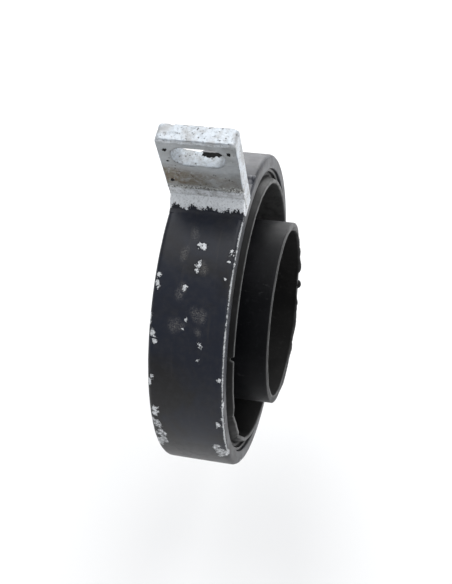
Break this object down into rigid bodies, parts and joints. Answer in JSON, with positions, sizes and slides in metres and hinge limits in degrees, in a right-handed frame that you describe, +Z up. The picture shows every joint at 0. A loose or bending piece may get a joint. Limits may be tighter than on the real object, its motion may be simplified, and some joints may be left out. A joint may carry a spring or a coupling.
{
  "type": "cushioned ring clamp",
  "caption": "Steel ring clamp with a slotted welded lug and a rubber-hung sleeve that holds a pipe in its bore.",
  "frame": {"origin": "on the bore axis, in the middle of the band's width", "axes": "+X along the bore towards the sleeve's protruding end, +Z up through the lug's root, the lug leaning towards -Y"},
  "size_m": [0.0356, 0.114, 0.146],
  "materials": {
    "black_paint": "semi-gloss black paint, chipped to bare steel at edges",
    "painted_weld": "black paint over a weld bead, rubbed bright",
    "bare_zinc": "dull bare plated metal with stains and pits",
    "weld_metal": "bare lumpy weld with paint flecks",
    "coated_steel": "matt black phosphate coating",
    "cushion_rubber": "satin black moulded rubber",
    "web_rubber": "matt black moulded rubber",
    "tube_steel": "plain drawn steel",
    "jacket_rubber": "smooth black moulded rubber",
    "liner_rubber": "matt black rubber"
  },
  "bodies": {
    "ring": {"outer_band": "black_paint", "band_seam_weld": "painted_weld", "mounting_lug": "bare_zinc", "lug_weld_front": "weld_metal", "lug_weld_back": "weld_metal", "cushion_shell": "coated_steel", "cushion_rim": "cushion_rubber", "web_root": "web_rubber"},
    "fold": {"web_crown": "web_rubber"},
    "bond": {"web_bond": "web_rubber"},
    "sleeve": {"sleeve_tube": "tube_steel", "sleeve_jacket": "jacket_rubber", "sleeve_liner": "liner_rubber", "moulding_nub": "liner_rubber"}
  },
  "joints": [
    {"name": "sleeve_float", "type": "slide", "parent": "ring", "child": "fold", "axis": [1, 0, 0], "range_m": [-0.004, 0.004], "stiffness_N_per_m": 5000},
    {"name": "sleeve_pitch", "type": "hinge", "parent": "fold", "child": "bond", "pos_m": [-0.005, 0, 0], "axis": [0, 1, 0], "range_deg": [-3, 3], "stiffness_Nm_per_rad": 8},
    {"name": "sleeve_yaw", "type": "hinge", "parent": "bond", "child": "sleeve", "pos_m": [-0.005, 0, 0], "axis": [0, 0, 1], "range_deg": [-3, 3], "stiffness_Nm_per_rad": 8}
  ]
}
